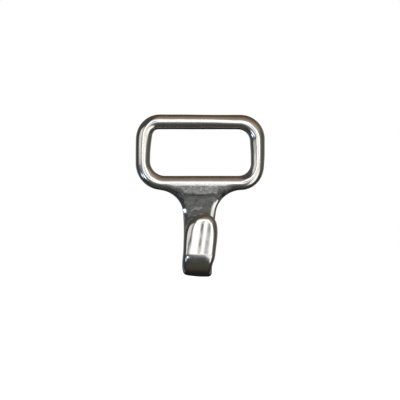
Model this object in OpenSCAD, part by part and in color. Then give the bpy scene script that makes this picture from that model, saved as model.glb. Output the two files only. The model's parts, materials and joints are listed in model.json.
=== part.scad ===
// Webbing strap hook: a rectangular loop of round bar with an open J hook below it.
// Origin at the centre of the loop's top bar, +Z up, +X to the right, the hook opens towards -Y.

/* [Strap loop] */
// Clear width of the strap slot, for 25 mm webbing
slot_w = 26.1; // [24:0.1:32]
// Clear height of the strap slot
slot_h = 12.1; // [10:0.1:16]
// Diameter of the loop's round bar
bar_d = 3.7; // [3.5:0.1:4]
// Inner corner radius of the slot
slot_r = 2.9; // [2:0.1:4]

/* [Blade] */
// Thickness of the blade
blade_t = 3; // [2.6:0.1:3.2]
// Radius on the blade's long edges
edge_r = 1.1; // [0.5:0.1:1.25]
// Width of the shank just under the neck
shank_w = 8.4; // [7.5:0.1:9.5]
// Radius of the flare between the loop and the shank
flare_r = 6.4; // [5:0.1:7]
// How far the shank stands left of the loop's middle
shank_offset = 0.2; // [0:0.1:0.5]

/* [Hook] */
// Clear gap between the shank and the tongue
throat = 5.8; // [5:0.1:7]
// Diameter of the round seat at the bottom of the throat
seat_d = 6; // [5.2:0.1:7.2]
// Drop from the top bar's axis to the seat's axis
seat_drop = 34.2; // [33:0.1:38]
// Tilt of the seat's axis, down to the right
seat_tilt = 4; // [0:0.5:6]
// Blade width at the bottom of the bend
bend_w = 7.5; // [7:0.1:9]
// How much wider the blade is where the bend begins and ends
bend_waist = 0.3; // [0:0.1:0.6]
// How far the bend stands left of the loop's middle
bend_offset = 0.5; // [0:0.1:0.8]
// Widest part of the tongue
tongue_w = 8.2; // [7.5:0.1:9.5]
// Height of the tongue above the seat's axis
tongue_h = 10.2; // [9:0.1:12]
// Length of the tongue's rounded end
tip_len = 4.4; // [3:0.1:5]
// How far the tongue starts right of the bend
tongue_shift = 0.4; // [0:0.1:0.6]
// Lean of the tongue to the right
tongue_lean = 5.5; // [0:0.5:8]

/* [Neck fillets] */
// How far each fillet stands above the blade's face
fillet_rise = 0.28; // [0.2:0.01:0.3]
// How far each fillet reaches below the lower bar's axis
fillet_drop = 3.6; // [3:0.1:4]
// Width of each fillet along its lower edge
fillet_w = 9.6; // [8:0.1:10]
// How much further each fillet spreads at the bar, on either side
fillet_spread = 1.2; // [0:0.1:2]
// Height of the slope along each fillet's lower edge
fillet_slope = 0.5; // [0.2:0.1:1]

/* [Hidden] */
polished = "gainsboro";
as_cast = "gray";
$fn = 96;

bar_r = bar_d / 2;
half_t = blade_t / 2;
corner_r = slot_r + bar_r;                 // corner radius of the bar's own centre line
bar_x = slot_w / 2 + bar_r;                // centre line of each side bar
low_bar_z = -(slot_h + bar_d);             // axis of the lower bar
flare_z = low_bar_z - bar_r - flare_r;     // the flare arcs run out along the loop's lower edge
bend_r = throat / 2 + half_t;              // radius of the blade's middle layer in the bend
bend_y = -bend_r;                          // depth of the seat's axis
tip_z = tongue_h - tip_len;                // where the tongue's rounded end begins, above the seat's axis
tip_power = 2.4;                           // 2 would make that end an ellipse, more makes it blunter
bar_clear = 14;                            // half length of the tools that cut the neck to the lower bar
web_steps = 9;
shank_steps = 5;
bend_steps = 20;
tongue_steps = 5;
tip_steps = 9;
arc_points = 5;                            // points on each rounded corner of the blade's section

// A vector turned about Y, so that +X dips by angle a.
function dip(v, a) = [v.x * cos(a) + v.z * sin(a), v.y, -v.x * sin(a) + v.z * cos(a)];

// Rounded rectangle w by t, as [across, outwards] points.
function section(w, t) =
    let (r = min(edge_r, 0.49 * w, 0.49 * t))
    [for (c = [0:3], i = [0:arc_points])
        let (a = 90 * (c + i / arc_points))
        [(c % 3 == 0 ? 1 : -1) * (w / 2 - r) + r * cos(a), (c < 2 ? 1 : -1) * (t / 2 - r) + r * sin(a)]];

// A section placed at p, dipped by tilt, with its outward side turned to angle turn in the bend.
function ring(p, tilt, turn, w, t) =
    [for (s = section(w, t)) p + dip([s.x, s.y * cos(turn), -s.y * sin(turn)], tilt)];

// The seat's own frame: x along its axis, y back, z up.
function on_seat(p) = [-bend_offset, bend_y, -seat_drop] + dip(p, seat_tilt);
function sway(turn) = turn > 90 ? tongue_shift * pow(cos(turn), 2) : 0;

shank_start = [-shank_offset, 0, flare_z];
shank_end = on_seat([0, bend_r, 0]);
tongue_start = on_seat([tongue_shift, -bend_r, 0]);
bend_end_w = bend_w + bend_waist;          // blade width where the bend begins and ends

// Half width of the neck at angle a of the flare arcs: 0 at the bar, 90 at the shank.
function neck_half_w(a) = shank_w / 2 + flare_r * (1 - sin(a));

web_rings = concat(
    [ring([-shank_offset, 0, low_bar_z], 0, 0, 2 * neck_half_w(0) - blade_t, blade_t)],
    [for (i = [0:web_steps - 1])
        let (a = 90 * i / web_steps)
        ring([-shank_offset, 0, flare_z + flare_r * cos(a)], 0, 0, 2 * neck_half_w(a), blade_t)]);

shank_rings = [for (i = [0:shank_steps - 1])
    let (k = i / shank_steps)
    ring(shank_start + k * (shank_end - shank_start), k * seat_tilt, 0,
         shank_w + k * (bend_end_w - shank_w), blade_t)];

bend_rings = [for (i = [0:bend_steps - 1])
    let (turn = 180 * i / bend_steps,
         w = lookup(turn, [[0, bend_end_w], [90, bend_w], [130, bend_w], [180, bend_end_w]]))
    ring(on_seat([sway(turn), bend_r * cos(turn), -bend_r * sin(turn)]), seat_tilt, turn, w, blade_t)];

// A point h above the tongue's start, along its lean.
function on_tongue(h) = tongue_start + dip([0, 0, h], tongue_lean);
function tongue_tilt(h) = lookup(h, [[0, seat_tilt], [tip_z, tongue_lean]]);

tongue_rings = [for (i = [0:tongue_steps - 1])
    let (h = tip_z * i / tongue_steps)
    ring(on_tongue(h), tongue_tilt(h), 180,
         lookup(h, [[0, bend_end_w], [tip_z, tongue_w]]), blade_t)];

// The end closes in both directions: round in front view, and rounded over its thickness.
tip_rings = [for (i = [0:tip_steps])
    let (s = sin(86 * i / tip_steps),
         left = tip_len * (1 - s),
         w = tongue_w * pow(1 - pow(s, tip_power), 1 / tip_power),
         t = left > half_t ? blade_t : 2 * sqrt(half_t * half_t - pow(half_t - left, 2)))
    ring(on_tongue(tip_z + tip_len * s), tongue_lean, 180, w, t)];

// One closed skin through all the rings, capped at both ends.
module skin(rings) {
    n = len(rings[0]);
    last = len(rings) - 1;
    sides = [for (i = [0:last - 1], j = [0:n - 1])
        let (a = i * n + j, b = i * n + (j + 1) % n)
        each [[a, b, b + n], [a, b + n, a + n]]];
    caps = [[for (j = [n - 1:-1:0]) j], [for (j = [0:n - 1]) last * n + j]];
    polyhedron([for (r = rings, p = r) p], concat(sides, caps));
}

module bar(length) {
    cylinder(r = bar_r, h = length, center = true);
}

module corner(turn) {
    rotate([90, turn, 0]) rotate_extrude(angle = 90) translate([corner_r, 0]) circle(bar_r);
}

module lower_bar(length) {
    translate([0, 0, low_bar_z]) rotate([0, 90, 0]) bar(length);
}

module strap_loop() {
    across = 2 * (bar_x - corner_r);
    upright = -low_bar_z - 2 * corner_r;
    color(polished) {
        rotate([0, 90, 0]) bar(across);
        lower_bar(across);
        for (side = [-1, 1]) {
            translate([side * bar_x, 0, low_bar_z / 2]) bar(upright);
        }
        translate([bar_x - corner_r, 0, -corner_r]) corner(0);
        translate([corner_r - bar_x, 0, -corner_r]) corner(-90);
        translate([corner_r - bar_x, 0, low_bar_z + corner_r]) corner(180);
        translate([bar_x - corner_r, 0, low_bar_z + corner_r]) corner(90);
    }
}

module hook_blade() {
    color(polished) difference() {
        skin(concat(web_rings, shank_rings, bend_rings, tongue_rings, tip_rings));
        lower_bar(2 * bar_clear);
        translate([-bend_offset, bend_y, -seat_drop]) rotate([0, 90 + seat_tilt, 0])
            cylinder(d = seat_d, h = 4 * bend_w, center = true);
    }
}

// The filled corner between the lower bar and one face of the blade. It is drawn for the front.
module neck_fillet() {
    rise_y = -(half_t + fillet_rise);
    toe_z = low_bar_z - fillet_drop;
    toe_x = fillet_w / 2;
    top_x = toe_x + fillet_spread;
    side_profile = [[0, low_bar_z], [rise_y, low_bar_z], [rise_y, toe_z + fillet_slope],
                    [-half_t, toe_z], [0, toe_z]];
    front_outline = [[-toe_x, toe_z], [toe_x, toe_z], [top_x, low_bar_z], [-top_x, low_bar_z]];
    color(as_cast) difference() {
        intersection() {
            translate([-bar_clear, 0, 0]) rotate([90, 0, 90])
                linear_extrude(2 * bar_clear) polygon(side_profile);
            translate([-shank_offset, 0, 0]) rotate([90, 0, 0])
                linear_extrude(blade_t) polygon(front_outline);
        }
        lower_bar(2 * bar_clear);
        translate([-bar_clear, -half_t, low_bar_z - 2 * fillet_drop])
            cube([2 * bar_clear, blade_t, 2 * fillet_drop]);
    }
}

module front_fillet() {
    neck_fillet();
}

module rear_fillet() {
    mirror([0, 1, 0]) neck_fillet();
}

strap_loop();
hook_blade();
front_fillet();
rear_fillet();
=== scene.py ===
"""The looks of a webbing strap hook: a cast, hand-polished steel loop with an open J hook below it.

Lengths are in millimetres while a shape is worked out, and in metres in the mesh. The axes are the frame's
own: +Z up, +X to the right, and the hook opens towards -Y.
"""
import json
import math

import bpy
import numpy as np
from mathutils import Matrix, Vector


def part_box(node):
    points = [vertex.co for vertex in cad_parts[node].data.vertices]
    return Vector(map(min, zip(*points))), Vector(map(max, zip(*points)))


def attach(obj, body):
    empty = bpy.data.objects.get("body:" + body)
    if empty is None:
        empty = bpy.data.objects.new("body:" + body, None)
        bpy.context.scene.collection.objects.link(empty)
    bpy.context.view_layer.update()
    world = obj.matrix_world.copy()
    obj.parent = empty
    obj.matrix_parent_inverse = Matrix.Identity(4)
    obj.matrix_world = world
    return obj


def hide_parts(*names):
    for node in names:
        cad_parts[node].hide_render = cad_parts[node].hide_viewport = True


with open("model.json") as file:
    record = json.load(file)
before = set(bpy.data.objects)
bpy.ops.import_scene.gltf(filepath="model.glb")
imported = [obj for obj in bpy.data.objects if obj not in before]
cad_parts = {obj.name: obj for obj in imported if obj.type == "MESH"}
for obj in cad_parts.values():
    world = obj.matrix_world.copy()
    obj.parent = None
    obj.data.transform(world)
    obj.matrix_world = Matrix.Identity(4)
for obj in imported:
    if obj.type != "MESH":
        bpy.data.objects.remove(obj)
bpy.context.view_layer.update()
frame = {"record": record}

MM = 1000.0


def box_mm(node):
    low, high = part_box(node)
    return np.array(low) * MM, np.array(high) * MM


# ---------------------------------------------------------------- sizes: the loop, then the blade

LOOP_LOW, LOOP_HIGH = box_mm("strap_loop")
BLADE_LOW, BLADE_HIGH = box_mm("hook_blade")
MOUNTS = {m["name"]: m for m in frame["record"]["mounts"]}

BAR_R = (LOOP_HIGH[1] - LOOP_LOW[1]) / 2
BAR_X = LOOP_HIGH[0] - BAR_R                   # centre line of the right side bar
LOW_BAR_Z = LOOP_LOW[2] + BAR_R                # axis of the lower bar
CORNER_R = 4.75                                # corner radius of the bar's centre line
SLOT_X, SLOT_Z = 13.08, 6.04                   # half the slot's width and height
SLOT_AT = (0.05, -7.95)                        # middle of the slot
LOOP_X, LOOP_Z = 16.79, 9.77                   # half the loop's width and height
LOOP_AT_Z = -7.9
LOOP_CORNERS = (6.25, 6.3, 6.9, 6.0)           # outer radii: top left, top right, bottom left, bottom right
SLOT_CORNERS = (1.4, 3.2, 3.9, 3.2)            # inner radii, in the same order
SLOT_LEAN = (0.6, 0.2)                         # how far the slot's sides lean in at the top: left, right
LOOP_LEAN = (0.09, 0.3)                        # how far the loop leans in: top left, bottom right
TOP_LEAN = 0.11                                # how much higher the loop is on its left
LOW_BAR_LEAN = 0.13                            # the lower bar is a little fuller below its front line
TOP_RIGHT_LEAN = 0.12                          # and so is the top bar towards its right end
SIDE_FLATS = ((1, -0.42, 0.055), (-1, 0.42, 0.035))     # polishing flats: side, radians round the bar, depth
FLAT_WIDTH = 0.35                              # radians
LOOP_WAVES = ((0.010, 6.0, 5), (0.0012, 1.8, 7))        # unevenness of the polish: depth, wavelength, seed

HALF_T = BLADE_HIGH[1]                         # half of the blade's thickness
SEAT = np.array(MOUNTS["hook_seat"]["pos_m"]) * MM
SEAT_AXIS = MOUNTS["hook_seat"]["axis"]
SEAT_R = MOUNTS["hook_seat"]["dims"]["r_mm"]
SEAT_SLOPE = -SEAT_AXIS[2] / SEAT_AXIS[0]      # how steeply the seat dips to the right
DIP_Z = (-23, -33)                             # the blade takes up the seat's dip between these heights
BEND_R = -SEAT[1]                              # radius of the blade's middle layer in the bend

FLARE_R = (6.6, 6.85)                          # flare arcs between the loop and the shank: left, right
FLARE_Z = LOW_BAR_Z - BAR_R - 6.4              # where the shank's straight sides end
SKIRT = 3.4                                    # how far the lower bar's skin is drawn down over the blade
NECK_X, NECK_HALF_W = -0.2, 4.2                # middle and half width of the shank under the neck
SHANK_WAIST = 0.32                             # how much its half width dips between the neck and the bend
BEND_HALF_W = 3.86
BEND_WIDER = 0.07                              # half width more where the bend begins and ends
BEND_RISE = 0.3                                # the bend begins this far above the seat's axis
BEND_SWAY = (0.24, 0.1)                        # how far left the bend swings: at its bottom, halfway up
TONGUE_TURN = 0.74                             # from this share of the bend on, the tongue's shape comes in
TONGUE_SHIFT = 0.5                             # how far right of the shank's foot the tongue starts
TONGUE_HALF_W = 4.14
LEFT_FULLER = 0.46                             # the tongue is this much wider on its left, below its tip
LEFT_FULLER_TOP = 5.5                          # ... up to this height above the seat's axis
TONGUE_TOP = 10.38                             # tip above the seat's axis
TIP_LEN = 5.3                                  # length of the tongue's rounded end
TIP_POWER = 2.6                                # 2 would make that end an ellipse
TONGUE_LEAN = 0.07                             # sideways slope of the tongue
TONGUE_CROWN_R = (16.3, 14.0)                  # the tongue's front is domed across: left, right
TWIST = (0.3, 0.075)                           # the dome's top is right of its middle, more so higher up
TONGUE_DOME_START = 7.2                        # from this height up it also rolls back towards its tip
TONGUE_DOME_R = 14.0
TIP_ROUND = (2.3, 1.9)                         # the tip's front is rounded this far in: left, right
TONGUE_TAPER = 0.055                           # how fast the tongue thins towards its tip
BACK_CROWN_R = 30.0                            # the shank's back is domed across
BLADE_WAVES = (0.010, 5.0, 3)                  # unevenness of the polish: depth, wavelength, seed
WING_THIN = 0.85                               # how much thinner each face is out at the ends of the flares
TIP_CURVES = ((0.0, 0.11), (1.3, 0.12))        # the tip's rounding: from how far in, how steeply
TAPER_FROM = -0.9                              # the tongue's taper starts here, from the seat's axis
EDGE_R = 1.05                                  # radius on the edges of the bend
FRONT_EDGE_MORE = 0.1                          # ... and how much more it is on the tongue's front,
TIP_EDGE_MORE = 0.25                           # how much more again at the tip,
SHANK_EDGE_LESS = 0.5                          # and how much less on the shank
BEVEL_W, BEVEL_R = 1.5, 3.0                    # easing of the shank's right edge on the throat side
CHAMFER_W = (1.15, 0.2)                        # chamfer of the neck's edges: above, further down
CHAMFER_FACES = (0.67, 0.74)                   # the way it faces: sideways, to the front
CHAMFER_SHARE = 0.7
ON_SHANK = 0.02                                # below this share of the bend a point is on the shank
BLEND = 0.6                                    # size of the fillet where blade and bar meet
DISH_AT = (-3.95, -1.28, -23.1)                # deepest point of a dish ground into the neck's left edge
DISH_FACES = (-0.431, -0.881, -0.194)          # the way it faces
DISH_R = 12.0
ROOT_DEPTH = 0.006                             # the blade's root lies this far inside the bar's skin ...
ROOT_HALF_W = 12.6                             # ... and reaches this far to either side


# ---------------------------------------------------------------- helpers for shapes

def smooth(a, b, v):
    """0 at a, 1 at b, and smooth between them."""
    t = np.clip((v - a) / (b - a), 0.0, 1.0)
    return t * t * (3 - 2 * t)


def smooth_min(a, b, size):
    h = np.maximum(size - np.abs(a - b), 0.0) / size
    return np.minimum(a, b) - h * h * size / 4


def smooth_max(a, b, size):
    return -smooth_min(-a, -b, size)


def plate(outline, face, radius):
    """A plate from its outline's and its faces' distances, with its edges rounded by radius."""
    q1, q2 = outline + radius, face + radius
    return np.hypot(np.maximum(q1, 0), np.maximum(q2, 0)) + np.minimum(np.maximum(q1, q2), 0) - radius


def waves(x, y, z, wavelength, seed):
    """A smooth, random-looking value between about -1 and 1, the same on each run."""
    rng = np.random.default_rng(seed)
    total = np.zeros_like(x)
    for _ in range(6):
        direction = rng.normal(size=3)
        direction *= 2 * math.pi / (wavelength * rng.uniform(0.8, 1.6) * np.linalg.norm(direction))
        total += np.sin(direction[0] * x + direction[1] * y + direction[2] * z + rng.uniform(0, 2 * math.pi))
    return total / 3


def rounded_box(x, z, half_x, half_z, corners):
    """Distance to the outline of a rectangle whose corners have their own radii."""
    top_left, top_right, low_left, low_right = corners
    radius = np.where(z > 0, np.where(x > 0, top_right, top_left), np.where(x > 0, low_right, low_left))
    dx, dz = np.abs(x) - half_x + radius, np.abs(z) - half_z + radius
    return np.hypot(np.maximum(dx, 0), np.maximum(dz, 0)) + np.minimum(np.maximum(dx, dz), 0) - radius


# ---------------------------------------------------------------- the loop's shape

def loop_field(x, y, z):
    """Below zero inside the loop's bar, which is round between the outlines of the loop and of its slot."""
    slot_x = x - SLOT_AT[0] - SLOT_LEAN[0] * np.clip((z + 10.4) / 7, 0, 1.1) ** 2 * smooth(-6, -11, x)
    slot_x = slot_x + SLOT_LEAN[1] * smooth(-9, -4.5, z) * smooth(6, 11, x)
    loop_x = x + LOOP_LEAN[1] * smooth(-8, -14, z) * smooth(6, 13, x)
    loop_x = loop_x - LOOP_LEAN[0] * smooth(-7, -3, z) * smooth(-6, -13, x)
    loop_z = z - LOOP_AT_Z - TOP_LEAN * smooth(6, -7, x) * smooth(-6, -1, z)
    outside = rounded_box(loop_x, loop_z, LOOP_X, LOOP_Z, LOOP_CORNERS)
    slot = rounded_box(slot_x, z - SLOT_AT[1], SLOT_X, SLOT_Z, SLOT_CORNERS)
    half_width = np.maximum((slot - outside) / 2, 0.5)
    out = (slot + outside) / 2 / half_width
    forward = -y / BAR_R
    size = np.maximum(np.hypot(out, forward), 0.05)
    lean = LOW_BAR_LEAN * smooth(-11.5, -15.5, z) - TOP_RIGHT_LEAN * smooth(1.5, 11, x) * smooth(-6.5, 0, z)
    fuller = lean * 2 * out * forward / size ** 2
    skin = sum(depth * waves(x, y, z, wavelength, seed) for depth, wavelength, seed in LOOP_WAVES)
    turn = np.arctan2(out, forward)
    flats = sum(depth * np.exp(-((turn - angle) / FLAT_WIDTH) ** 2) * smooth(10.5, 13.0, side * x)
                for side, angle, depth in SIDE_FLATS)
    flats = flats * smooth(-2.5, -4.5, z) * smooth(-14.0, -11.0, z)
    return (size - 1) * BAR_R - fuller - skin + flats


# ---------------------------------------------------------------- the blade

def blade_frame(x, y, z):
    """Where a point lies on the blade: sideways u from its middle, outwards n from its middle layer, height
    above the seat's axis, turn round the bend from 0 at the shank to 1 at the tongue, and whether it is on
    the tongue's side."""
    dip = SEAT_SLOPE * smooth(*DIP_Z, z)
    level = z + (x - SEAT[0]) * dip
    up = level - SEAT[2]
    straight = up - BEND_RISE
    back = y - SEAT[1]
    on_tongue = back < 0
    outer_r = BEND_R + HALF_T
    bent = np.maximum(-straight, 0) * outer_r / (outer_r + BEND_RISE)
    angle = np.where(straight >= 0, np.where(on_tongue, math.pi, 0.0), np.arctan2(bent, back))
    turn = angle / math.pi
    up_shank = np.clip(straight, 0, FLARE_Z - SEAT[2]) / (FLARE_Z - SEAT[2])
    shank_x = SEAT[0] + (NECK_X - SEAT[0]) * up_shank
    bend_x = SEAT[0] - BEND_SWAY[0] * np.sin(angle) - BEND_SWAY[1] * np.sin(2 * angle) ** 2
    bend_x = bend_x + TONGUE_SHIFT * smooth(TONGUE_TURN, 1.0, turn)
    tongue_x = SEAT[0] + TONGUE_SHIFT + TONGUE_LEAN * straight
    middle = np.where(straight >= 0, np.where(on_tongue, tongue_x, shank_x), bend_x)
    return x - middle, np.hypot(back, bent) - BEND_R, up, turn, on_tongue


def flare_arc(u):
    """Radius of the flare on this side, and how far its arc is below the lower bar's axis at u."""
    radius = np.where(u > 0, FLARE_R[1], FLARE_R[0])
    gap = np.clip(NECK_HALF_W + radius - np.abs(u), 0, radius)
    return radius, BAR_R + radius - np.sqrt(radius ** 2 - gap ** 2)


def blade_outline(u, up, turn, on_tongue, z):
    """Distance to the blade's outline, as seen square to its faces."""
    share = np.clip(up, 0, FLARE_Z - SEAT[2]) / (FLARE_Z - SEAT[2])
    end_half_w = BEND_HALF_W + BEND_WIDER
    widening = NECK_HALF_W - end_half_w + SHANK_WAIST
    shank = np.abs(u) - (end_half_w - SHANK_WAIST * share + widening * share ** 2)
    radius, _ = flare_arc(u)
    flare = radius - np.hypot(np.abs(u) - NECK_HALF_W - radius, z - (LOW_BAR_Z - BAR_R - radius))
    flare = np.maximum(flare, np.abs(u) - NECK_HALF_W - radius)
    shank = np.where(z > FLARE_Z, flare, shank)
    fuller = LEFT_FULLER * smooth(0.6, -0.6, u)
    bend_half_w = BEND_HALF_W + BEND_WIDER * np.cos(math.pi * turn) ** 2
    bend = np.abs(u) - (bend_half_w + fuller * smooth(TONGUE_TURN, 1.0, turn))
    tip_start = TONGUE_TOP - TIP_LEN
    fuller = fuller * smooth(TONGUE_TOP, LEFT_FULLER_TOP, up)
    side = end_half_w + (TONGUE_HALF_W - end_half_w) * smooth(0, tip_start, up)
    side = np.abs(u) - side - fuller
    half_w = TONGUE_HALF_W + fuller
    a = np.abs(u) / half_w
    b = np.maximum(up - tip_start, 0) / TIP_LEN
    size = np.maximum((a ** TIP_POWER + b ** TIP_POWER) ** (1 / TIP_POWER), 1e-6)
    slope = np.hypot((a / size) ** (TIP_POWER - 1) / half_w, (b / size) ** (TIP_POWER - 1) / TIP_LEN)
    tip = (size - 1) / np.maximum(slope, 1e-3)
    tongue = np.where(up > tip_start, tip, side)
    return np.where((turn > 0) & (turn < 1), bend, np.where(on_tongue, tongue, shank))


def tongue_falls_back(u, up, on_tongue, outline):
    """How far the tongue's front is set back by the roll and the rounding of its tip, and by its taper."""
    roll = np.maximum(up - TONGUE_DOME_START, 0) ** 2 / (2 * TONGUE_DOME_R)
    inwards = TIP_ROUND[0] + (TIP_ROUND[1] - TIP_ROUND[0]) * smooth(-1.5, 2.0, u)
    reach = np.minimum(outline, 0.3) + inwards
    rounding = sum(steep * np.maximum(reach - start, 0) ** 2 for start, steep in TIP_CURVES)
    rise = np.maximum(up - TAPER_FROM, 0)
    taper = TONGUE_TAPER * rise ** 2 / (rise + 0.5)
    return np.where(on_tongue, roll + rounding * smooth(0.5, 8.0, up) + taper, 0.0)


def neck_cuts(x, y, z, u, outline, inner):
    """Distances to the neck's chamfers and to the dish ground into its left edge, above zero outside."""
    further_down = np.where(u > 0, smooth(-19.3, -21.3, z), smooth(-21.6, -23.0, z))
    width = CHAMFER_W[0] - (CHAMFER_W[0] - CHAMFER_W[1]) * further_down
    chamfer = CHAMFER_FACES[0] * outline + CHAMFER_FACES[1] * inner + CHAMFER_SHARE * width
    to_ball = [c - at - DISH_R * way for c, at, way in zip((x, y, z), DISH_AT, DISH_FACES)]
    return chamfer, DISH_R - np.sqrt(sum(d ** 2 for d in to_ball))


def blade_field(x, y, z):
    """Below zero inside the blade."""
    u, n, up, turn, on_tongue = blade_frame(x, y, z)
    outline = blade_outline(u, up, turn, on_tongue, z)
    front = smooth(0.55, 0.95, turn)
    shank = 1 - smooth(0.0, 0.3, turn)
    twist = (TWIST[0] + TWIST[1] * np.clip(up, 0, 8)) * front
    crown_r = np.where(u < twist, TONGUE_CROWN_R[0], TONGUE_CROWN_R[1])
    crown = (u - twist) ** 2 / 2 * (front / crown_r + (1 - front) / BACK_CROWN_R)
    bevel = np.maximum(outline + BEVEL_W, 0) ** 2 / (2 * BEVEL_R)
    bevel = bevel * (u > 0) * shank * smooth(-19.9, -21.6, z)
    thin = WING_THIN * smooth(5.0, 10.4, np.abs(u)) * (up > 5)
    outer = n + crown + tongue_falls_back(u, up, on_tongue, outline) + thin - HALF_T
    inner = -n + thin + bevel - HALF_T
    tip = np.where(on_tongue, smooth(4.5, 8.5, up), 0.0)
    radius = EDGE_R + FRONT_EDGE_MORE * front + TIP_EDGE_MORE * tip - SHANK_EDGE_LESS * shank
    body = plate(outline, np.maximum(outer, inner), radius)
    chamfer, dish = neck_cuts(x, y, z, u, outline, inner)
    body = np.where(turn < ON_SHANK, smooth_max(body, chamfer, 0.22), body)
    body = np.where(turn < ON_SHANK, smooth_max(body, dish, 0.08), body)
    depth, wavelength, seed = BLADE_WAVES
    body += depth * waves(x, y, z, wavelength, seed)
    from_seat_axis = np.hypot(up * SEAT_AXIS[0], y - SEAT[1])
    body = np.maximum(body, SEAT_R - from_seat_axis)
    body = np.maximum(body, z - LOW_BAR_Z)
    down = LOW_BAR_Z - z
    _, flare_down = flare_arc(x - NECK_X)
    drawn = LOW_BAR_Z - down * BAR_R / np.minimum(flare_down, SKIRT)
    root = np.maximum(loop_field(x, y, drawn) + ROOT_DEPTH, np.maximum(-down, np.abs(x) - ROOT_HALF_W))
    return smooth_min(body, root, 0.02 + BLEND * smooth(1.0, 2.2, down) * smooth(-0.6, -1.6, outline))


# ---------------------------------------------------------------- the fillets at the neck

STRIP_X = -0.15                                # middle of the strip
STRIP_TOE = 3.3                                # its lower edge, below the lower bar's axis
STRIP_HALF_W = (5.8, 4.75)                     # half its width: at the bar, at its lower edge
STRIP_PROUD = 0.015                            # how far it stands in front of the bar's front line
STRIP_SUNK = 0.12                              # how far its hidden rim lies inside the blade
STRIP_BACK = 1.0                               # where its hidden back lies, from the blade's middle layer
STRIP_TOP = 0.25                               # where it starts inside the bar, below the bar's axis


def fillet_field(side):
    """The raised, unpolished strip between bar and blade, about level with the bar's front line: side is -1
    at the front and 1 at the rear."""
    def field(x, y, z):
        down = LOW_BAR_Z - z
        still = x * 0
        half_width = STRIP_HALF_W[0] - (STRIP_HALF_W[0] - STRIP_HALF_W[1]) * smooth(0.3, STRIP_TOE, down)
        half_width += 0.3 * waves(still, still, z, 2.2, 11 + side)
        ends = smooth(half_width + 1.2, half_width - 1.1, np.abs(x - STRIP_X))
        ripple = 0.14 * waves(x, still, still, 4.0, 17 + side)
        toe = smooth(STRIP_TOE + 0.55, STRIP_TOE - 0.75, down + ripple)
        flush = BAR_R + STRIP_PROUD - 0.03 * down + 0.02 * waves(x, still, z, 1.1, 23 + side)
        sunk = HALF_T - STRIP_SUNK
        level = sunk + (flush - sunk) * ends * toe
        sheet = np.maximum(side * y - level, np.maximum(STRIP_BACK - side * y, STRIP_TOP - down))
        _, flare_down = flare_arc(x - NECK_X)
        lower_edge = np.minimum(STRIP_TOE + 0.6, flare_down - 1.35)
        edges = np.maximum(down - lower_edge, np.abs(x - STRIP_X) - STRIP_HALF_W[0] - 0.8)
        return np.maximum(sheet, edges)
    return field


# ---------------------------------------------------------------- meshes from fields

def surface_net(field, low, high, step):
    """A closed mesh of four-sided faces round the region where field is below zero: points, faces."""
    axes = [np.arange(a, b + step, step) for a, b in zip(low, high)]
    grid = np.meshgrid(*axes, indexing="ij")
    value = field(*[g.ravel() for g in grid]).reshape(grid[0].shape)
    inside = value < 0
    cells = tuple(n - 1 for n in value.shape)
    total, count = np.zeros(cells + (3,)), np.zeros(cells)
    for axis in range(3):
        a = [slice(None)] * 3
        b = [slice(None)] * 3
        a[axis], b[axis] = slice(0, -1), slice(1, None)
        va, vb = value[tuple(a)], value[tuple(b)]
        cross = inside[tuple(a)] != inside[tuple(b)]
        share = np.where(cross, va / np.where(cross, va - vb, 1.0), 0.0)
        others = [k for k in range(3) if k != axis]
        for i in (0, 1):
            for j in (0, 1):
                part = [slice(None)] * 3
                part[others[0]] = slice(i, cells[others[0]] + i)
                part[others[1]] = slice(j, cells[others[1]] + j)
                hit = cross[tuple(part)]
                count += hit
                total[..., axis] += np.where(hit, share[tuple(part)], 0)
                total[..., others[0]] += hit * i
                total[..., others[1]] += hit * j
    used = count > 0
    index = np.full(cells, -1)
    index[used] = np.arange(used.sum())
    corner = np.argwhere(used)
    points = (corner + total[used] / count[used][:, None]) * step + np.array([a[0] for a in axes])
    faces = []
    for axis in range(3):
        others = [k for k in range(3) if k != axis]
        a = [slice(1, -1)] * 3
        b = [slice(1, -1)] * 3
        a[axis], b[axis] = slice(0, -1), slice(1, None)
        ia, ib = inside[tuple(a)], inside[tuple(b)]
        at = np.argwhere(ia != ib)
        at[:, others] += 1
        quad = []
        for i, j in ((1, 1), (0, 1), (0, 0), (1, 0)):
            cell = at.copy()
            cell[:, others[0]] -= i
            cell[:, others[1]] -= j
            quad.append(index[tuple(cell.T)])
        quad = np.stack(quad, 1)
        outwards = ia[tuple((at - np.array([0 if k == axis else 1 for k in range(3)])).T)]
        if axis == 1:
            outwards = ~outwards
        quad[~outwards] = quad[~outwards][:, ::-1]
        faces.append(quad)
    return points, np.concatenate(faces)


def gradient(field, points, reach=0.01):
    """The field's slope at each point."""
    slope = []
    for k in range(3):
        step = np.zeros(3)
        step[k] = reach
        ahead, behind = points + step, points - step
        slope.append((field(*ahead.T) - field(*behind.T)) / (2 * reach))
    return np.stack(slope, 1)


def settle(field, points, faces, step, rounds=4):
    """Evens out the mesh along the surface, and puts every point exactly on it."""
    edges = np.concatenate([faces[:, [k, (k + 1) % 4]] for k in range(4)])
    for turn in range(rounds + 1):
        if turn:
            total, count = np.zeros_like(points), np.zeros(len(points))
            for a, b in ((0, 1), (1, 0)):
                np.add.at(total, edges[:, a], points[edges[:, b]])
                np.add.at(count, edges[:, a], 1)
            points = points + 0.5 * (total / count[:, None] - points)
        for _ in range(3):
            slope = gradient(field, points)
            size = np.maximum((slope ** 2).sum(1), 0.05)
            move = -(field(*points.T) / size)[:, None] * slope
            length = np.linalg.norm(move, axis=1)
            move *= np.minimum(1, 0.5 * step / np.maximum(length, 1e-9))[:, None]
            points = points + move
    return points


def add_piece(name, points, faces, material):
    mesh = bpy.data.meshes.new(name)
    mesh.from_pydata((points / MM).tolist(), [], faces.tolist())
    mesh.update()
    mesh.shade_smooth()
    mesh.materials.append(material)
    piece = bpy.data.objects.new(name, mesh)
    bpy.context.scene.collection.objects.link(piece)
    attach(piece, "root")
    return piece


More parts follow.
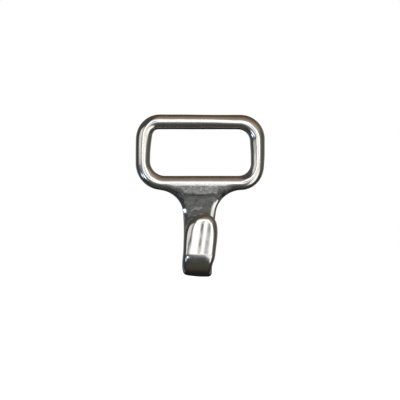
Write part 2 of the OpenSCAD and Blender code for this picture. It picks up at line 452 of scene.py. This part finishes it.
def set_mask(piece, name, values):
    attribute = piece.data.attributes.new(name, "FLOAT", "POINT")
    attribute.data.foreach_set("value", np.asarray(values, np.float32))


def solid_from_field(name, field, low, high, step, material):
    points, faces = surface_net(field, low, high, step)
    points = settle(field, points, faces, step)
    return add_piece(name, points, faces, material), points


# ---------------------------------------------------------------- the loop

def loop_centre(count):
    """Points along the loop's centre line, with the direction in its plane that points out of the loop."""
    half_x, half_z = BAR_X - CORNER_R, -LOW_BAR_Z / 2 - CORNER_R
    arc = CORNER_R * math.pi / 2
    runs = [(half_x, half_z, 0, 2 * half_z), (half_x, -half_z, 3, 2 * half_x),
            (-half_x, -half_z, 2, 2 * half_z), (-half_x, half_z, 1, 2 * half_x)]
    around = sum(straight + arc for _, _, _, straight in runs)
    points, outs = [], []
    for s in np.arange(count) * around / count:
        for x, z, quarter, straight in runs:
            a = quarter * math.pi / 2
            if s < straight:
                out = np.array([math.cos(a), math.sin(a)])
                along = np.array([out[1], -out[0]])
                point = np.array([x, z]) + CORNER_R * out + s * along
                break
            s -= straight
            if s < arc:
                corner = np.array([x, z]) + straight * np.array([math.sin(a), -math.cos(a)])
                b = a - s / CORNER_R
                out = np.array([math.cos(b), math.sin(b)])
                point = corner + CORNER_R * out
                break
            s -= arc
        points.append(point)
        outs.append(out)
    points = np.array(points) + np.array([0, LOW_BAR_Z / 2])
    return points, np.array(outs)


def build_loop(material, around=640, section=72):
    """A tube swept along the centre line, whose points are then moved onto loop_field's surface."""
    centre, out = loop_centre(around)
    angle = np.linspace(0, 2 * math.pi, section, endpoint=False)
    x = centre[:, :1] + BAR_R * out[:, :1] * np.sin(angle)
    z = centre[:, 1:] + BAR_R * out[:, 1:] * np.sin(angle)
    y = -BAR_R * np.cos(angle) + 0 * x
    points = np.stack([x, y, z], -1).reshape(-1, 3)
    i, j = np.meshgrid(np.arange(around), np.arange(section), indexing="ij")
    i2, j2 = (i + 1) % around, (j + 1) % section
    faces = np.stack([i * section + j, i2 * section + j, i2 * section + j2, i * section + j2], -1)
    faces = faces.reshape(-1, 4)
    points = settle(loop_field, points, faces, 0.4, rounds=3)
    return add_piece("strap_loop_bar", points, faces, material)


# ---------------------------------------------------------------- the blade and the strips, with their masks

POLISHED_RIM = (1.1, 1.3)                      # width of the polished rim along the web's edges: left, right
SCUFFS_AT = (-1.2, -23.2)                      # a few brighter marks above the tongue's tip


def toe_shade_mask(x, z):
    """1 along the strip's lower edge, where a dark line of painted shade stands in for the shade of the
    crease between strip and web.
    """
    down = LOW_BAR_Z - z + 0.14 * waves(x, x * 0, x * 0, 4.0, 16)
    return smooth(STRIP_TOE - 0.45, STRIP_TOE + 0.05, down) * smooth(STRIP_TOE + 0.75, STRIP_TOE + 0.2, down)


def blade_cast_mask(points):
    """1 where the blade is left as cast, the web and the throat side, and 0 where it is polished."""
    x, y, z = points.T
    u, n, up, turn, on_tongue = blade_frame(x, y, z)
    edge = blade_outline(u, up, turn, on_tongue, z)
    left_rim = POLISHED_RIM[0] - 0.95 * smooth(-21.3, -22.6, z) - 0.4 * smooth(-21.2, -19.8, z)
    right_rim = POLISHED_RIM[1] - 0.95 * smooth(-21.0, -19.6, z)
    rim = np.where(u > 0, right_rim, left_rim)
    throat_side = smooth(-0.7, -1.1, n) * smooth(0.25 - rim, -0.25 - rim, edge)
    marks = waves(0.5 * x + 0.2 * z, y * 0, z, 0.75, 43)
    scuffs = smooth(0.2, 0.8, marks) * smooth(2.6, 1.4, np.hypot(x - SCUFFS_AT[0], z - SCUFFS_AT[1]))
    from_dish = np.linalg.norm(points - np.array(DISH_AT), axis=1)
    throat_side *= (1 - 0.22 * scuffs) * smooth(0.45, 0.75, from_dish)
    web_rear = smooth(0.9, 1.3, n) * smooth(-0.4, -1.1, edge) * smooth(-25.0, -21.5, z) * (y > 0)
    below_bar = smooth(LOW_BAR_Z - 1.2, LOW_BAR_Z - 1.6, z)
    return np.clip(throat_side + web_rear, 0, 1) * below_bar


def build_blade(material):
    low = (-13.2, BLADE_LOW[1] - 0.6, BLADE_LOW[2] - 0.8)
    high = (13.2, HALF_T + 0.9, LOW_BAR_Z + 0.6)
    blade, points = solid_from_field("blade", blade_field, low, high, 0.17, material)
    set_mask(blade, "as_cast", blade_cast_mask(points))
    # the blade's share of the painted shade along the strip's toe
    set_mask(blade, "painted_toe_shade", 0.3 * toe_shade_mask(points[:, 0], points[:, 2]))
    return blade


def build_strip(name, side, material):
    near, far = sorted((side * 0.8, side * 2.4))
    low = (STRIP_X - 7, near, LOW_BAR_Z - 4.4)
    high = (STRIP_X + 7, far, LOW_BAR_Z + 0.2)
    strip, points = solid_from_field(name, fillet_field(side), low, high, 0.1, material)
    x, y, z = points.T
    ragged = 0.10 * waves(x, y * 0, z, 1.7, 31 + side)
    set_mask(strip, "as_cast", smooth(0.60, 1.15, LOW_BAR_Z - z + ragged))
    # painted shade along the strip's toe
    set_mask(strip, "painted_toe_shade", 0.5 * toe_shade_mask(x, z))
    return strip


# ---------------------------------------------------------------- materials

def new_material(name):
    material = bpy.data.materials.new(name)
    material.use_nodes = True
    tree = material.node_tree
    return material, tree.nodes, tree.links, tree.nodes["Principled BSDF"]


def noise(nodes, links, scale, detail=4.0, rough=0.55, stretch=(1, 1, 1)):
    """Object-space noise, scale in cycles per metre."""
    where = nodes.new("ShaderNodeTexCoord")
    mapping = nodes.new("ShaderNodeMapping")
    mapping.inputs["Scale"].default_value = stretch
    texture = nodes.new("ShaderNodeTexNoise")
    texture.inputs["Scale"].default_value = scale
    texture.inputs["Detail"].default_value = detail
    texture.inputs["Roughness"].default_value = rough
    links.new(where.outputs["Object"], mapping.inputs["Vector"])
    links.new(mapping.outputs["Vector"], texture.inputs["Vector"])
    return texture.outputs["Fac"]


def spread(nodes, links, value, low, high, from_low=0.3, from_high=0.7):
    """The value, stretched from its own range to low .. high and held there."""
    remap = nodes.new("ShaderNodeMapRange")
    remap.inputs["From Min"].default_value = from_low
    remap.inputs["From Max"].default_value = from_high
    remap.inputs["To Min"].default_value = low
    remap.inputs["To Max"].default_value = high
    links.new(value, remap.inputs["Value"])
    return remap.outputs["Result"]


def colour_mix(nodes, links, factor, a, b):
    mix = nodes.new("ShaderNodeMix")
    mix.data_type = "RGBA"
    links.new(factor, mix.inputs["Factor"])
    for socket, value in ((mix.inputs["A"], a), (mix.inputs["B"], b)):
        if isinstance(value, tuple):
            socket.default_value = (*value, 1)
        else:
            links.new(value, socket)
    return mix.outputs["Result"]


def value_mix(nodes, links, factor, a, b):
    mix = nodes.new("ShaderNodeMix")
    mix.data_type = "FLOAT"
    links.new(factor, mix.inputs["Factor"])
    links.new(a, mix.inputs["A"])
    links.new(b, mix.inputs["B"])
    return mix.outputs["Result"]


def bump(nodes, links, height, depth):
    """depth is the height's full range in metres."""
    node = nodes.new("ShaderNodeBump")
    node.inputs["Strength"].default_value = 1.0
    node.inputs["Distance"].default_value = depth
    links.new(height, node.inputs["Height"])
    return node.outputs["Normal"]


POLISHED = ((0.70, 0.69, 0.67), (0.80, 0.79, 0.775))    # colours of the darker and of the lighter patches
WEB_CAST = ((0.12, 0.122, 0.12), (0.27, 0.272, 0.265))
STRIP_CAST = ((0.20, 0.203, 0.205), (0.62, 0.625, 0.63))
WEB_PATCHES, STRIP_PATCHES = 620, 1150         # patches per metre, about
# painted shade: the dark colour laid along the strip's toe for the shade of its crease
TOE_SHADE_COLOUR = (0.075, 0.075, 0.073)
POLISHED_ROUGHNESS = (0.10, 0.19)
CAST_ROUGHNESS = (0.42, 0.62)
SCRATCH_DEPTH = 0.0000016                      # metres
PIT_DEPTH = 0.00010


def mask_value(nodes, name):
    attribute = nodes.new("ShaderNodeAttribute")
    attribute.attribute_name = name
    return attribute.outputs["Fac"]


def polished_finish(nodes, links):
    """Colour, roughness and normal of hand-polished steel, with faint smears and fine upright scratches."""
    smears = noise(nodes, links, scale=420, detail=3)
    scratches = noise(nodes, links, scale=2600, detail=2, rough=0.5, stretch=(1.0, 1.0, 0.12))
    colour = colour_mix(nodes, links, spread(nodes, links, smears, 0, 1), *POLISHED)
    roughness = spread(nodes, links, smears, *POLISHED_ROUGHNESS)
    return colour, roughness, bump(nodes, links, scratches, SCRATCH_DEPTH)


def cast_finish(nodes, links, colours, patch_scale):
    """Colour, roughness and normal of steel left as cast: patchy and pitted, and darkened by painted shade
    along the strip's toe where that mask says.
    """
    grain = noise(nodes, links, scale=1500, detail=5, rough=0.6)
    patches = noise(nodes, links, scale=patch_scale, detail=5, rough=0.68, stretch=(0.8, 1.0, 1.25))
    colour = colour_mix(nodes, links, spread(nodes, links, patches, 0, 1, 0.35, 0.68), *colours)
    # darkens the cast colour with painted shade along the strip's toe
    colour = colour_mix(nodes, links, mask_value(nodes, "painted_toe_shade"), colour, TOE_SHADE_COLOUR)
    roughness = spread(nodes, links, grain, *CAST_ROUGHNESS)
    return colour, roughness, bump(nodes, links, grain, PIT_DEPTH)


def polished_material(name):
    material, nodes, links, shader = new_material(name)
    shader.inputs["Metallic"].default_value = 1.0
    for result, socket in zip(polished_finish(nodes, links), ("Base Color", "Roughness", "Normal")):
        links.new(result, shader.inputs[socket])
    return material


def part_cast_material(name, colours, patch_scale):
    """Steel that is left as cast where the mesh's as_cast mask is 1, and polished where it is 0."""
    material, nodes, links, shader = new_material(name)
    shader.inputs["Metallic"].default_value = 1.0
    colour, roughness, normal = polished_finish(nodes, links)
    cast_colour, cast_roughness, cast_normal = cast_finish(nodes, links, colours, patch_scale)
    mask = mask_value(nodes, "as_cast")
    links.new(colour_mix(nodes, links, mask, colour, cast_colour), shader.inputs["Base Color"])
    links.new(value_mix(nodes, links, mask, roughness, cast_roughness), shader.inputs["Roughness"])
    both = nodes.new("ShaderNodeMix")
    both.data_type = "VECTOR"
    links.new(mask, both.inputs["Factor"])
    links.new(normal, both.inputs["A"])
    links.new(cast_normal, both.inputs["B"])
    links.new(both.outputs["Result"], shader.inputs["Normal"])
    return material


# ---------------------------------------------------------------- the studio

PITCH_STOPS = [                                # colours over the top and under the bottom, -90 straight down
    (-180, (0.02, 0.018, 0.017)), (-125, (0.016, 0.014, 0.014)), (-105, (0.022, 0.020, 0.018)),
    (-90, (0.044, 0.042, 0.032)), (-75, (0.066, 0.062, 0.048)), (-60, (0.070, 0.068, 0.056)),
    (-48, (0.062, 0.067, 0.054)), (-28, (0.092, 0.094, 0.092)), (-18, (0.112, 0.116, 0.124)),
    (-8, (0.27, 0.27, 0.28)), (38, (0.52, 0.49, 0.45)), (47, (0.40, 0.35, 0.30)), (57, (0.344, 0.279, 0.22)),
    (77, (0.255, 0.181, 0.124)), (98, (0.156, 0.096, 0.056)), (127, (0.093, 0.060, 0.035)),
    (180, (0.045, 0.035, 0.028))]
AZIMUTH_STOPS = [                              # colours around the horizon, 0 in front and 90 on the right
    (-180, (0.05, 0.05, 0.05)), (-125, (0.060, 0.062, 0.059)), (-76, (0.060, 0.064, 0.066)),
    (-40, (0.10, 0.11, 0.125)), (0, (0.25, 0.25, 0.26)), (56, (0.20, 0.19, 0.17)), (66, (0.14, 0.133, 0.112)),
    (87, (0.094, 0.084, 0.062)), (112, (0.105, 0.094, 0.069)), (180, (0.05, 0.05, 0.045))]
HORIZON = (-18, 24, 18)                        # elevations at which the second list takes over from the first

# A pair is an edge and its softness, and three values are two edges and their softness. They are in degrees,
# apart from those of the far left and the side fill, which are parts of a direction of length 1.
FAR_LEFT_X = (-0.45, 0.5)
FLOOR_LEFT = (0.032, 0.034, 0.032)
LOW_WALL_LEFT, LOW_WALL_Z = (0.040, 0.062, 0.080), (-0.6, 0.3)
WALL_LEFT, WALL_Z = (0.10, 0.10, 0.095), (0.0, 0.4)
SIDE_FILL = (0.19, 0.19, 0.186)                # a dim glow from behind, at both sides
SIDE_FILL_EDGES = ((0.45, 0.3), (0.42, 0.25))  # backwards, sideways
REAR_STRIP = (0.9, 0.9, 0.88)                  # a bright strip straight behind
REAR_STRIP_EDGES = ((162, 8), (-8, 18, 6))     # azimuth either way, elevations
PANEL = ((-61, 39, 11), (-2, 35, 9))           # the white panel in front: azimuths, elevations
PANEL_WHITE = (1.7, 1.7, 1.67)
CREAM_EDGE = (-27, 5)                          # left of this azimuth it is cream
CREAM = (0.92, 0.90, 0.85)
GAP_EDGES = ((-31, 3), (-22, 7))               # a thin dark gap between cream and white
GAP_DARK = (0.05, 0.05, 0.05)
POSTS = (((-7.7, -2.2, 2.0), (2.5, 24, 3), (0.10, 0.10, 0.10)),     # azimuths, elevations, colour
         ((5.0, 15.0, 4), (1.5, 14, 3), (0.27, 0.28, 0.305)))
RIGHT_CUT = ((23, 8), (21, 8))                 # the panel's upper right corner is missing beyond these edges
LEFT_CUT = ((-140, -25, 8), (22, 8))           # its upper left one is hidden by something dark
LEFT_CUT_DARK = (0.072, 0.072, 0.062)
LOW_LIGHT_EDGES = ((7, 6), (49, 8))            # a slanting light below the panel, on the right
LOW_LIGHT_SLANT = 0.4
LOW_LIGHT_UP = (-46, -4, 8)
LOW_LIGHT = (1.35, 1.32, 1.22)
LAMPS = ((-55, -22), (-30, -17))               # two small bluish lamps: azimuth, elevation
LAMP_HALF, LAMP_SOFT = 4.5, 5
LAMP_COLOUR = (2.9, 3.6, 4.2)
THIRD_RAY = (0.06, 0.06, 0.06)                 # what a third reflection sees is drawn towards this ...
THIRD_RAY_SHARE = 0.6                          # ... by this much


def build_world():
    """A dark room with a wide white panel, two posts and two lamps in front, as a direction-only environment.
    The camera itself sees plain white."""
    world = bpy.data.worlds.new("studio")
    bpy.context.scene.world = world
    world.use_nodes = True
    nodes, links = world.node_tree.nodes, world.node_tree.links
    nodes.clear()

    def math_node(operation, a, b=None):
        node = nodes.new("ShaderNodeMath")
        node.operation = operation
        for socket, value in zip(node.inputs, (a, b)):
            if value is None:
                continue
            if isinstance(value, (int, float)):
                socket.default_value = value
            else:
                links.new(value, socket)
        return node.outputs[0]

    def step_up(value, edge, width):
        """0 below the edge, 1 above it, and smooth over the width."""
        remap = nodes.new("ShaderNodeMapRange")
        remap.interpolation_type = "SMOOTHSTEP"
        links.new(value, remap.inputs["Value"])
        remap.inputs["From Min"].default_value = edge - width / 2
        remap.inputs["From Max"].default_value = edge + width / 2
        return remap.outputs["Result"]

    def times(a, b):
        return math_node("MULTIPLY", a, b)

    def step_down(value, edge, width):
        return math_node("SUBTRACT", 1.0, step_up(value, edge, width))

    def band(value, low, high, width):
        return times(step_up(value, low, width), step_down(value, high, width))

    def mix(factor, a, b):
        return colour_mix(nodes, links, factor, a, b)

    def ramp(angle, stops):
        """A colour for each angle from -180 to 180 degrees."""
        node = nodes.new("ShaderNodeValToRGB")
        links.new(math_node("ADD", math_node("DIVIDE", angle, 360.0), 0.5), node.inputs["Fac"])
        elements = node.color_ramp.elements
        while len(elements) < len(stops):
            elements.new(0.5)
        for element, (degrees, colour) in zip(elements, stops):
            element.position = degrees / 360 + 0.5
            element.color = (*colour, 1)
        return node.outputs["Color"]

    direction = nodes.new("ShaderNodeTexCoord").outputs["Generated"]
    split = nodes.new("ShaderNodeSeparateXYZ")
    links.new(direction, split.inputs[0])
    x, y, z = split.outputs
    degrees = 180 / math.pi
    ahead = times(y, -1.0)
    azimuth = times(math_node("ARCTAN2", x, ahead), degrees)
    elevation = times(math_node("ARCSINE", z), degrees)
    pitch = times(math_node("ARCTAN2", z, ahead), degrees)

    far_left = mix(step_up(z, *LOW_WALL_Z), FLOOR_LEFT, LOW_WALL_LEFT)
    far_left = mix(step_up(z, *WALL_Z), far_left, WALL_LEFT)
    around_x = mix(step_up(x, *FAR_LEFT_X), far_left, ramp(pitch, PITCH_STOPS))
    room = mix(band(elevation, *HORIZON), around_x, ramp(azimuth, AZIMUTH_STOPS))
    aside = step_up(math_node("ABSOLUTE", x), *SIDE_FILL_EDGES[1])
    room = mix(times(step_up(y, *SIDE_FILL_EDGES[0]), aside), room, SIDE_FILL)
    behind = step_up(math_node("ABSOLUTE", azimuth), *REAR_STRIP_EDGES[0])
    room = mix(times(behind, band(elevation, *REAR_STRIP_EDGES[1])), room, REAR_STRIP)

    panel = mix(step_up(azimuth, *CREAM_EDGE), CREAM, PANEL_WHITE)
    panel = mix(times(step_up(azimuth, *GAP_EDGES[0]), step_down(azimuth, *GAP_EDGES[1])), panel, GAP_DARK)
    for azimuths, elevations, colour in POSTS:
        panel = mix(times(band(azimuth, *azimuths), band(elevation, *elevations)), panel, colour)
    right_cut = times(step_up(azimuth, *RIGHT_CUT[0]), step_up(elevation, *RIGHT_CUT[1]))
    in_panel = times(band(azimuth, *PANEL[0]), band(elevation, *PANEL[1]))
    front = mix(times(in_panel, math_node("SUBTRACT", 1.0, right_cut)), room, panel)
    left_cut = times(band(azimuth, *LEFT_CUT[0]), step_up(elevation, *LEFT_CUT[1]))
    front = mix(left_cut, front, LEFT_CUT_DARK)

    slanting = math_node("ADD", azimuth, times(elevation, LOW_LIGHT_SLANT))
    low_light = times(step_up(slanting, *LOW_LIGHT_EDGES[0]), step_down(azimuth, *LOW_LIGHT_EDGES[1]))
    front = mix(times(low_light, band(elevation, *LOW_LIGHT_UP)), front, LOW_LIGHT)
    for lamp_azimuth, lamp_elevation in LAMPS:
        across = band(azimuth, lamp_azimuth - LAMP_HALF, lamp_azimuth + LAMP_HALF, LAMP_SOFT)
        upwards = band(elevation, lamp_elevation - LAMP_HALF, lamp_elevation + LAMP_HALF, LAMP_SOFT)
        front = mix(times(across, upwards), front, LAMP_COLOUR)

    path = nodes.new("ShaderNodeLightPath").outputs
    third_ray = step_up(path["Ray Depth"], 2.5, 0.5)
    front = mix(times(third_ray, THIRD_RAY_SHARE), front, THIRD_RAY)
    shader = nodes.new("ShaderNodeBackground")
    links.new(mix(path["Is Camera Ray"], front, (1.0, 1.0, 1.0)), shader.inputs["Color"])
    output = nodes.new("ShaderNodeOutputWorld")
    links.new(shader.outputs[0], output.inputs["Surface"])


def build_floor():
    """A plain pale floor, lit to white, that the polished steel doesn't mirror."""
    half, below = 3.0, 0.09
    mesh = bpy.data.meshes.new("floor")
    corners = [(-half, -half, -below), (half, -half, -below), (half, half, -below), (-half, half, -below)]
    mesh.from_pydata(corners, [], [(0, 1, 2, 3)])
    floor = bpy.data.objects.new("floor", mesh)
    bpy.context.scene.collection.objects.link(floor)
    material, _, _, shader = new_material("floor_white")
    shader.inputs["Base Color"].default_value = (0.9, 0.9, 0.9, 1)
    shader.inputs["Roughness"].default_value = 0.9
    shader.inputs["Emission Color"].default_value = (1, 1, 1, 1)
    shader.inputs["Emission Strength"].default_value = 1.0
    mesh.materials.append(material)
    floor.visible_glossy = False
    floor.visible_diffuse = False


def build_camera():
    """Level and square to the loop, far enough away for almost no perspective."""
    distance, view_width = 0.9, 0.104
    aim_x, aim_z = -0.00005, -0.02028
    sensor = 36.0
    camera = bpy.data.objects.new("camera", bpy.data.cameras.new("camera"))
    camera.data.sensor_width = sensor
    camera.data.lens = sensor * distance / view_width
    camera.location = (aim_x, -distance, aim_z)
    camera.rotation_euler = (math.radians(90), 0, 0)
    camera.data.clip_end = 10
    bpy.context.scene.collection.objects.link(camera)
    bpy.context.scene.camera = camera


# ---------------------------------------------------------------- putting it together

build_camera()
build_world()
build_floor()
bpy.context.scene.view_settings.view_transform = "Standard"

loop = build_loop(polished_material("polished_steel"))
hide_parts("strap_loop")

blade = build_blade(part_cast_material("blade_steel", WEB_CAST, WEB_PATCHES))
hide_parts("hook_blade")

strip_steel = part_cast_material("strip_steel", STRIP_CAST, STRIP_PATCHES)
for side, node in ((-1, "front_fillet"), (1, "rear_fillet")):
    strip = build_strip(node + "_metal", side, strip_steel)
    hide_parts(node)
